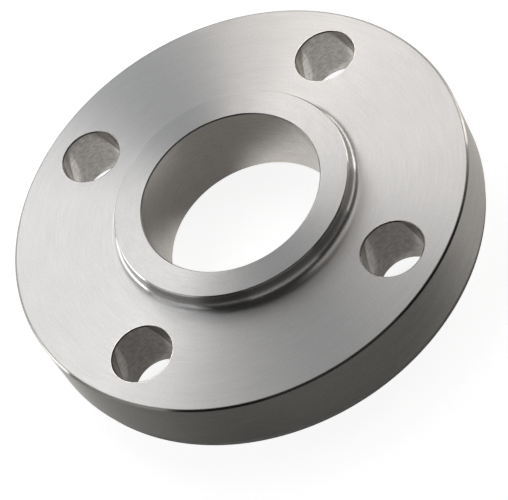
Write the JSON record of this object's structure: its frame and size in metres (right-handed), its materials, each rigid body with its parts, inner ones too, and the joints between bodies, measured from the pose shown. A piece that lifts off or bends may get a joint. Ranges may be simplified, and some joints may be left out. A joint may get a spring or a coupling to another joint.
{
  "type": "slip-on pipe flange",
  "caption": "Round slip-on pipe flange: a turned steel ring with a low hub, a raised sealing face, a plain through bore and bolt holes on a circle.",
  "frame": {"origin": "centre of the raised sealing face, on the bore's axis, in the plane that the flange lies on", "axes": "+Z along the bore axis, from the sealing face towards the hub; the bolt holes lie at 45 degrees to X and Y"},
  "size_m": [0.127, 0.127, 0.0231],
  "materials": {
    "turned_steel": "satin turned stainless steel, with fine concentric tool lines on the faces"
  },
  "bodies": {
    "root": {"flange": "turned_steel"}
  },
  "joints": []
}
